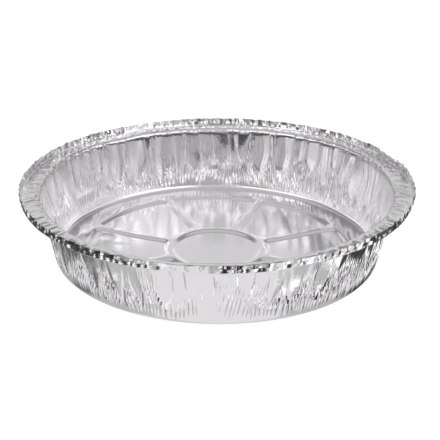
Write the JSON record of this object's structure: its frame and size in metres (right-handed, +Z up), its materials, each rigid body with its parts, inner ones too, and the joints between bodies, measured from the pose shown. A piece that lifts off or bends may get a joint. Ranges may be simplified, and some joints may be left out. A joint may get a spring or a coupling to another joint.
{
  "type": "foil pie pan",
  "caption": "Round foil pie tin with a gathered sloping wall, a spoked base, a flange and a crimped upstanding hem.",
  "frame": {"origin": "centre of the flat underside of the hub, on the surface the pan stands on", "axes": "+Z up along the pan's axis, +X to the right as seen from the front, +Y to the back"},
  "size_m": [0.2326, 0.2325, 0.0478],
  "materials": {
    "foil": "bright, wrinkled"
  },
  "bodies": {
    "root": {"pan": "foil"}
  },
  "joints": []
}
